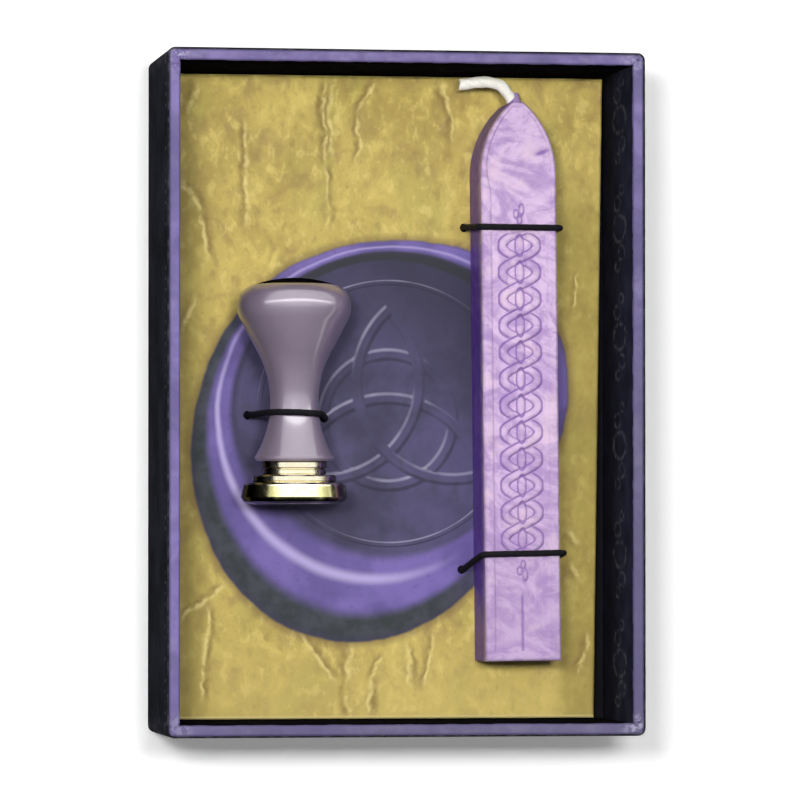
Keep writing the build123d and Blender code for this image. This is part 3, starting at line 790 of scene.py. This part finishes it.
def stamp_cord_route():
    left, right, over_y = STAMP_CORD
    exit_z = PLATFORM_TOP + HOLE_EXIT
    hole_y = (left[1] + right[1]) / 2
    neck = NECK_RADIUS + NECK_ARC - sqrt(NECK_ARC**2 - (hole_y - NECK_Y) ** 2)
    wrap = neck + CORD_RADIUS + CORD_CLEARANCE
    drop = STAMP_Z - exit_z
    spans = [STAMP_X - left[0], right[0] - STAMP_X]
    slopes = [atan2(drop, span) + asin(wrap / hypot(span, drop)) for span in spans]
    apex_x = (tan(slopes[0]) * left[0] + tan(slopes[1]) * right[0]) / (
        tan(slopes[0]) + tan(slopes[1])
    )
    apex_rise = (apex_x - left[0]) * tan(slopes[0])
    apex_y = hole_y + (over_y - hole_y) * apex_rise / (drop + wrap)
    corners = [
        (*left, PLATFORM_TOP),
        (*left, exit_z),
        (apex_x, apex_y, exit_z + apex_rise),
        (*right, exit_z),
        (*right, PLATFORM_TOP),
    ]
    return taut_route(corners, [CORD_BEND, wrap, CORD_BEND])


def wax_edge(y, side):
    """X of the stick's side at this Y: side is -1 for left and 1 for right."""
    middle = WAX_FOOT[0] - (y - WAX_FOOT[1]) * tan(WAX_TURN)
    return middle + side * WAX_WIDTH / 2 / cos(WAX_TURN)


def wax_cord_route(holes):
    left, right, over_y = holes
    exit_z = PLATFORM_TOP + HOLE_EXIT
    front_z = PLATFORM_TOP + WAX_THICKNESS + CORD_RADIUS + CORD_CLEARANCE
    right_y = over_y + (right[1] - left[1]) * 0.15
    corners = [
        (*left, PLATFORM_TOP),
        (*left, exit_z),
        (wax_edge(over_y, -1) - CORD_RADIUS + CORD_CLEARANCE, over_y, front_z),
        (wax_edge(right_y, 1) + CORD_RADIUS - CORD_CLEARANCE, right_y, front_z),
        (*right, exit_z),
        (*right, PLATFORM_TOP),
    ]
    return taut_route(corners, [CORD_BEND] * 4)


def braided(turn, travelled):
    """A round cord's surface with the low diamonds of a braided cover."""
    around, climb = 5 * turn, 1.9 * travelled  # five strands, wound this fast
    return CORD_RADIUS * (0.965 + 0.045 * np.cos(around + climb) * np.cos(around - climb))


def elastic(node, route):
    """The stretched run over the piece it holds, and its two knotted tails underneath."""

    def add(name, points, faces):
        return add_mesh(
            f"{node}_{name}", points, faces, "platform", "black_elastic", (node,), sharp=80
        )

    run = add("run", *tube(route, braided, 30))
    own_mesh(run)
    for name, (x, y, z) in (("left", route[0]), ("right", route[-1])):
        add(f"tail_{name}", *tube(taut_route([(x, y, z), (x, y, KNOT_Z)], []), braided, 16))
        add(f"knot_{name}", *tight_knot(x, y))


def tight_knot(x, y):
    """An overhand knot pulled tight: a short trefoil of cord, small enough for its ball."""
    turn = np.linspace(0, 2 * pi, 90)
    reach = KNOT_REACH * (2 + np.cos(3 * turn))
    path = np.stack(
        [
            x + reach * np.cos(2 * turn),
            y + reach * np.sin(2 * turn),
            KNOT_Z + KNOT_RISE * np.sin(3 * turn),
        ],
        axis=1,
    )
    return tube(path, lambda turn, travelled: np.full_like(turn, KNOT_CORD_RADIUS), 12)


# ---------------------------------------------------------------- wax stick and wick
WAX_DRAFT_IN = WAX_THICKNESS * tan(radians(0.6))  # how far the drafted walls lean in
WAX_BEVEL = 0.4
WAX_BORDER, WAX_PANEL_DEPTH = 1.5, 0.25
OGIVE_RADIUS = ((WAX_LENGTH - WAX_SHOULDER) ** 2 + (WAX_WIDTH / 2) ** 2) / WAX_WIDTH
TIP_ROUND = 2.0  # the rounded end of the ogive
TIP_CENTRE = WAX_SHOULDER + sqrt(
    (OGIVE_RADIUS - TIP_ROUND) ** 2 - (OGIVE_RADIUS - WAX_WIDTH / 2) ** 2
)
SCROLL_FROM, SCROLL_TO = 17.4, 68.6  # the moulded ornament, along the stick
SCROLL_PERIOD, SCROLL_REACH = 8.53, 2.7
SCROLL_HALF_WIDTH, SCROLL_HEIGHT = 0.62, 0.42
# petals past each end of the ornament: middle across and along, half width and half length
FINIAL = [(0.1, 1.9, 0.34, 0.55), (-0.5, 2.9, 0.34, 0.6), (0.4, 3.6, 0.36, 0.8)]


def on_wax(points):
    """From the stick's own frame, at the middle of its foot, to its place on the platform."""
    c, s = cos(WAX_TURN), sin(WAX_TURN)
    x, y, z = np.asarray(points, float).T
    return np.stack(
        [WAX_FOOT[0] + x * c - y * s, WAX_FOOT[1] + x * s + y * c, PLATFORM_TOP + z], axis=1
    )


def wax_half_width(v, inset):
    """Half the stick's width at v along it, this far inside its outline."""
    shoulder = np.clip(v - WAX_SHOULDER, 0, None)
    side = np.sqrt(np.clip((OGIVE_RADIUS - inset) ** 2 - shoulder**2, 0, None))
    side -= OGIVE_RADIUS - WAX_WIDTH / 2
    cap = np.sqrt(np.clip((TIP_ROUND - inset) ** 2 - (v - TIP_CENTRE) ** 2, 0, None))
    share = (OGIVE_RADIUS - inset) / (OGIVE_RADIUS - TIP_ROUND)
    return np.where(v > WAX_SHOULDER + (TIP_CENTRE - WAX_SHOULDER) * share, cap, side)


def ridge(distance, half_width):
    """A rounded ridge's height, 0 to 1, this far from its middle line."""
    return np.sqrt(np.clip(1 - (distance / half_width) ** 2, 0, 1)) ** 0.8


def moulded_ornament(u, v):
    """Height in mm of a two-strand plait with a boss in each eye, and small finials."""
    phase = 2 * pi * (v - SCROLL_FROM) / SCROLL_PERIOD
    inside = ease(v, SCROLL_FROM - 0.2, SCROLL_FROM + 0.4)
    inside = inside * ease(-v, -SCROLL_TO - 0.2, -SCROLL_TO + 0.4)
    height, groove = np.zeros_like(u), np.zeros_like(u)
    near = []
    for side in (1, -1):
        slope = side * SCROLL_REACH * 2 * pi / SCROLL_PERIOD * np.cos(phase)
        near.append(np.abs(u - side * SCROLL_REACH * np.sin(phase)) / np.sqrt(1 + slope**2))
    for side, mine, other in ((1, *near), (-1, *near[::-1])):
        over = 0.5 + 0.5 * side * np.cos(phase)
        dip = 1 - (1 - over) * ease(-other, -SCROLL_HALF_WIDTH - 0.45, -SCROLL_HALF_WIDTH - 0.05)
        height = np.maximum(height, ridge(mine, SCROLL_HALF_WIDTH) * dip * (0.7 + 0.3 * over))
        edge = np.exp(-(((mine - SCROLL_HALF_WIDTH - 0.08) / 0.16) ** 2))
        groove = np.maximum(groove, edge * dip)
    eye = (v - SCROLL_FROM - SCROLL_PERIOD / 4) / (SCROLL_PERIOD / 2)
    from_boss = np.hypot(1.3 * u, 0.55 * (eye - np.round(eye)) * SCROLL_PERIOD / 2)
    height = np.maximum(height, 0.85 * ridge(from_boss, 0.85))
    groove = np.maximum(groove, np.exp(-(((from_boss - 0.95) / 0.15) ** 2)))
    height, groove = height * inside, groove * inside
    for end, away in ((SCROLL_FROM, -1), (SCROLL_TO, 1)):
        for at_u, at_v, half_u, half_v in FINIAL:
            reach = np.hypot((u - at_u) / half_u, ((v - end) * away - at_v) / half_v)
            height = np.maximum(height, 0.75 * ridge(reach, 1.0))
            groove = np.maximum(groove, 0.8 * np.exp(-(((reach - 1.15) * half_u / 0.16) ** 2)))
    seam = np.exp(-(((u + 0.1) / 0.3) ** 2)) * ease(-v, -SCROLL_FROM + 5.5, -SCROLL_FROM + 7.5)
    groove = np.maximum(groove, seam * 0.9)
    return SCROLL_HEIGHT * height - 0.07 * groove, groove


def wax_front():
    """Rows of points over the sunk, ornamented front, and how far each is in a groove."""
    inset = WAX_DRAFT_IN
    end = TIP_CENTRE + TIP_ROUND - inset
    straight = np.linspace(inset, WAX_SHOULDER, 560)
    ogive = WAX_SHOULDER + (end - 1e-3 - WAX_SHOULDER) * np.sin(np.linspace(0, pi / 2, 90)[1:])
    rows = np.concatenate([straight, ogive])
    t = np.linspace(-1, 1, 92)
    t = 0.75 * t + 0.25 * np.sin(t * pi / 2)
    half = wax_half_width(rows, inset)
    v = np.repeat(rows[:, None], len(t), axis=1)
    u = half[:, None] * t[None, :]
    from_side = (half[:, None] - np.abs(u)) * np.where(v > WAX_SHOULDER, 0.93, 1.0)
    from_edge = np.minimum(from_side, np.minimum(v - inset, (end - v) * 0.9))
    border = WAX_BORDER - 0.8 * ease(v, WAX_SHOULDER - 4, WAX_SHOULDER + 2)
    w = WAX_THICKNESS - WAX_BEVEL * (1 - np.sin(np.clip(from_edge / WAX_BEVEL, 0, 1) * pi / 2))
    sunk = ease(from_edge, border - 0.12, border + 0.22)
    w -= WAX_PANEL_DEPTH * sunk
    ornament, groove = moulded_ornament(u, v)
    w += ornament * sunk
    flat = np.stack([u.ravel(), v.ravel(), w.ravel()], axis=1)
    uneven = ripple(flat, 0.16, 3.0) * 0.10 + ripple(flat, 0.6, 9.0) * 0.035
    w += uneven.reshape(w.shape)
    dent = np.exp(-(((u - 3.9) / 1.4) ** 2) - (((v - 81.35 - 0.35 * (u - 3.9)) / 0.42) ** 2))
    w -= 0.28 * dent
    # a line along the left border of the sunk panel, for painted shade
    border_line = np.exp(-(((from_edge - border - 0.05) / 0.16) ** 2)) * (u < 0)
    groove = np.maximum(np.maximum(groove * sunk, dent), 0.4 * border_line)
    return np.stack([u, v, w], axis=2), groove


def wax_stick():
    """The moulded stick: its front, then drafted walls that wander a little, and its back."""
    top, groove = wax_front()
    count_v, count_u = groove.shape
    loop = [(r, 0) for r in range(count_v)]
    loop += [(r, count_u - 1) for r in range(count_v - 1, -1, -1)]
    loop += [(0, c) for c in range(count_u - 2, 0, -1)]
    index = np.array([r * count_u + c for r, c in loop])
    rim = top.reshape(-1, 3)[index]
    tangent = np.roll(rim, -3, axis=0) - np.roll(rim, 3, axis=0)
    outward = np.stack([-tangent[:, 1], tangent[:, 0]], axis=1)
    outward /= np.linalg.norm(outward, axis=1)[:, None] + 1e-9
    points = [top.reshape(-1, 3)]
    faces = grid_faces(count_v, count_u)
    above = index
    levels = 14
    for level in range(1, levels + 1):
        down = level / levels
        ring = rim.copy()
        ring[:, 2] = rim[:, 2] * (1 - down) + 0.03 * down
        ring[:, :2] += outward * (WAX_DRAFT_IN * down)
        wobble = ripple(ring * (1, 1, 0.7), 0.3, 17.0) * 0.05 * sin(pi * down)
        ring[:, :2] += outward * wobble[:, None]
        below = np.arange(len(rim)) + count_v * count_u + (level - 1) * len(rim)
        points.append(ring)
        faces += np.stack([above, below, np.roll(below, -1), np.roll(above, -1)], axis=1).tolist()
        above = below
    faces.append(above[::-1].tolist())
    grooves = np.concatenate([groove.ravel(), np.zeros(len(rim) * levels)])
    placed = on_wax(np.concatenate(points))
    add_mesh("wax_stick_moulded", placed, faces, "wax", "lilac_wax", ("wax_stick",),
             {"groove": grooves}, sharp=60)


WICK_RADIUS, WICK_SIDES = 0.92, 36
WICK_BENDS = [(0.1, -0.35, 0.1), (-1.9, 2.25, 0.5), (-4.6, 2.75, 0.5), (-8.7, 2.15, 0.3)]
COLLAR_RADIUS, COLLAR_TOP_RADIUS = 1.7, 1.05
COLLAR_INSET, COLLAR_RISE, COLLAR_SHIFT = 2.3, 0.95, 0.3


def wick():
    """Waxed cotton core: three soft plies, bent over and cut on a slant."""
    tip_x, tip_y, _ = on_wax([(0, WAX_LENGTH, 0)])[0]
    start = (tip_x + 0.03, tip_y - 4.0, WICK_Z)
    bends = [(tip_x + x, tip_y + y, WICK_Z + z) for x, y, z in WICK_BENDS]
    path = taut_route([start, *bends], [2.0, 3.0, 8.0])

    def plies(turn, travelled):
        lay = 2 * pi / 6.5
        soft = 0.93 + 0.09 * np.abs(np.sin(1.5 * (turn - lay * travelled)))
        return WICK_RADIUS * soft * (1 + 0.03 * np.sin(2.1 * travelled))

    points, faces = tube(path, plies, WICK_SIDES)
    cut = points[-WICK_SIDES:]
    cut[:, 0] += (cut[:, 1] - cut[:, 1].mean()) * 0.25
    add_mesh("wick_plied", points, faces, "wax", "waxed_cotton", ("wick",), sharp=70)


def wax_collar():
    """Wax drawn up round the wick's foot as the stick was dipped."""
    tip_x, tip_y, _ = on_wax([(0, WAX_LENGTH, 0)])[0]

    def drawn_up(turn, travelled):
        rise = np.clip(travelled / (COLLAR_INSET + COLLAR_RISE), 0, 1)
        lip = np.sqrt(np.clip((1 - rise) / 0.3, 0, 1))
        reach = COLLAR_RADIUS + (COLLAR_TOP_RADIUS - COLLAR_RADIUS) * rise**0.7
        runs = 0.09 * np.sin(2 * turn + 1.0) + 0.06 * np.sin(5 * turn + 3 * rise)
        return (reach - 0.12) * (1 + runs * (1 - rise)) * (0.76 + 0.24 * lip)

    collar_x = tip_x + COLLAR_SHIFT
    root = (collar_x, tip_y - COLLAR_INSET, WICK_Z)
    path = taut_route([root, (collar_x, tip_y + COLLAR_RISE, WICK_Z)], [])
    points, faces = tube(path, drawn_up, 32)
    add_mesh("wax_collar", points, faces, "wax", "lilac_wax", ("wax_stick",), sharp=60)


# ---------------------------------------------------------------- rim
# across the strip: 0 at the charcoal lip, 1 at the opening; then the height over its top
RIM_SECTION = [(0.0, -0.2), (0.0, -0.06), (0.08, -0.01), (0.3, 0.0), (0.6, 0.0), (0.8, -0.01),
               (0.92, -0.05), (0.985, -0.14), (1.0, -0.26), (1.0, -0.42), (0.95, -0.42)]


def rim():
    """Lilac edging pasted over the rim: soft inner arris, uneven edges, folded corners."""
    outer_w, outer_l = TRAY_HALF_W - RIM_LIP, TRAY_HALF_L - RIM_LIP
    corner, pitch = 0.9, 0.35
    route = []
    for sx, sy, first in ((1, 1, 0), (-1, 1, 90), (-1, -1, 180), (1, -1, 270)):
        centre = np.array([sx * (outer_w - corner), sy * (outer_l - corner)])
        inner = np.array([sx * WALL_X, sy * WALL_Y])
        for a in np.linspace(first, first + 90, 9):
            route.append((centre + corner * np.array([cos(radians(a)), sin(radians(a))]), inner))
    dense = []
    for (out, inn), (next_out, next_inn) in zip(route, route[1:] + route[:1]):
        count = max(1, int(np.linalg.norm(next_out - out) / pitch))
        dense += [(out + (next_out - out) * i / count, inn + (next_inn - inn) * i / count)
                  for i in range(count)]
    outer = np.array([d[0] for d in dense])
    inner = np.array([d[1] for d in dense])
    points = []
    for across, drop in RIM_SECTION:
        flat = outer + (inner - outer) * across
        ground = np.column_stack([flat, np.full(len(flat), TRAY_TOP)])
        wander = ripple(ground, 0.35, 5.0) * 0.07 + ripple(ground, 1.3, 8.0) * 0.03
        inward = (inner - outer) / np.linalg.norm(inner - outer, axis=1)[:, None]
        edge = 1.0 if across in (0.0, 1.0, 0.985) else 0.3
        flat = flat + inward * (wander * edge)[:, None]
        from_side = TRAY_HALF_W - np.abs(flat[:, 0])
        from_end = TRAY_HALF_L - np.abs(flat[:, 1])
        fold = np.exp(-(((from_side - from_end) / 0.14) ** 2))
        fold = fold * ease(-np.hypot(from_side, from_end), -4.0, -3.0)
        pucker = ripple(ground, 0.8, 2.0) * 0.05
        z = TRAY_TOP + drop - 0.10 * fold - 0.03 + np.minimum(pucker, 0.03)
        points.append(np.column_stack([flat, z]))
    count = len(outer)
    faces = grid_faces(len(RIM_SECTION), count, closed=True)
    last = (len(RIM_SECTION) - 1) * count
    faces += [[last + i, last + (i + 1) % count, (i + 1) % count, i] for i in range(count)]
    add_mesh("rim_edging_folded", np.concatenate(points), faces, "tray", "lilac_paper",
             ("rim_edging",), sharp=50)


rim()
elastic("stamp_elastic", stamp_cord_route())
elastic("wax_elastic_upper", wax_cord_route(UPPER_WAX_CORD))
elastic("wax_elastic_lower", wax_cord_route(LOWER_WAX_CORD))
wax_stick()
wick()
wax_collar()


# ---------------------------------------------------------------- floor, light and camera
CAMERA_EYE, CAMERA_AIM = (-133.27, -22.32, 878.0), (-1.29, -1.11, 28.0)
LENS, SENSOR_WIDTH = 246.6, 36.0


def floor():
    """A pale floor that turns up far away into a low backdrop."""
    profile = [(0.5, 0.0), (1.2, 0.0), (2.6, 0.0), (3.3, 0.06), (3.8, 0.3), (4.0, 0.8)]
    sides = 96
    points = [
        (r * cos(2 * pi * i / sides), r * sin(2 * pi * i / sides), z)
        for r, z in profile
        for i in range(sides)
    ]
    faces = [face[::-1] for face in grid_faces(len(profile), sides, closed=True)]
    faces.append(list(range(sides)))
    mesh = bpy.data.meshes.new("floor")
    mesh.from_pydata(points, [], faces)
    mesh.shade_smooth()
    ground = bpy.data.objects.new("floor", mesh)
    bpy.context.scene.collection.objects.link(ground)
    material = bpy.data.materials.new("floor")
    material.use_nodes = True
    tree = material.node_tree
    tree.nodes.remove(tree.nodes["Principled BSDF"])
    diffuse = tree.nodes.new("ShaderNodeBsdfDiffuse")
    diffuse.inputs["Color"].default_value = (0.9, 0.9, 0.9, 1)
    glow = tree.nodes.new("ShaderNodeEmission")
    path = tree.nodes.new("ShaderNodeLightPath")
    seen = Field(tree, path.outputs["Is Camera Ray"])
    seen = seen + Field(tree, path.outputs["Is Glossy Ray"])
    seen = calc("ADD", seen, Field(tree, path.outputs["Is Transmission Ray"]), clamp=True)
    place = tree.nodes.new("ShaderNodeTexCoord")
    parts = tree.nodes.new("ShaderNodeSeparateXYZ")
    tree.links.new(place.outputs["Object"], parts.inputs[0])
    away = length(Field(tree, parts.outputs[0]), Field(tree, parts.outputs[1]))
    feed(glow.inputs["Strength"], seen * (0.19 + step(away, 0.06, 0.5) * 0.81))
    both = tree.nodes.new("ShaderNodeAddShader")
    tree.links.new(diffuse.outputs[0], both.inputs[0])
    tree.links.new(glow.outputs[0], both.inputs[1])
    tree.links.new(both.outputs[0], tree.nodes["Material Output"].inputs["Surface"])
    mesh.materials.append(material)


def world():
    """Soft fill that is stronger overhead."""
    sky = bpy.data.worlds.new("studio")
    bpy.context.scene.world = sky
    sky.use_nodes = True
    tree = sky.node_tree
    place = tree.nodes.new("ShaderNodeTexCoord")
    parts = tree.nodes.new("ShaderNodeSeparateXYZ")
    tree.links.new(place.outputs["Generated"], parts.inputs[0])
    fill = 0.05 + step(Field(tree, parts.outputs["Z"]), 0.1, 0.95) * 0.14
    fill = fill + step(Field(tree, parts.outputs["Y"]), 0.3, 0.9) * 0.35
    feed(tree.nodes["Background"].inputs["Strength"], fill)
    tree.nodes["Background"].inputs["Color"].default_value = (1, 1, 1, 1)


def aimed(eye, aim, up=(0, 1, 0)):
    """A matrix at eye that looks at aim, with its own up as near to this one as can be."""
    forward = (Vector(aim) - Vector(eye)).normalized()
    right = forward.cross(Vector(up)).normalized()
    matrix = Matrix((right, right.cross(forward), -forward)).transposed().to_4x4()
    matrix.translation = eye
    return matrix


def lamp(name, eye, size, power, glossy):
    """A soft rectangular lamp aimed at the tray, either for reflections or for all the rest."""
    data = bpy.data.lights.new(name, "AREA")
    data.shape, data.size, data.size_y, data.energy = "RECTANGLE", *size, power
    light = bpy.data.objects.new(name, data)
    light.matrix_world = aimed(eye, (0, 0, 0.015))
    light.visible_camera = False
    light.visible_glossy, light.visible_diffuse = glossy, not glossy
    bpy.context.scene.collection.objects.link(light)


def camera():
    data = bpy.data.cameras.new("camera")
    data.lens, data.sensor_width = LENS, SENSOR_WIDTH
    data.clip_start, data.clip_end = 0.01, 20.0
    view = bpy.data.objects.new("camera", data)
    view.matrix_world = aimed(Vector(CAMERA_EYE) * MM, Vector(CAMERA_AIM) * MM)
    bpy.context.scene.collection.objects.link(view)
    bpy.context.scene.camera = view


floor()
world()
lamp("overhead", (0.0, 0.056, 0.80), (0.11, 0.075), 2.7, glossy=False)
lamp("side", (-0.215, 0.075, 0.78), (0.12, 0.10), 3.25, glossy=False)
lamp("strip", (0.0, 0.26, 0.72), (6.0, 0.16), 12.0, glossy=True)
lamp("sheet", (0.0, 0.47, 0.64), (6.0, 1.60), 27.0, glossy=True)
camera()
bpy.context.scene.view_settings.view_transform = "Standard"
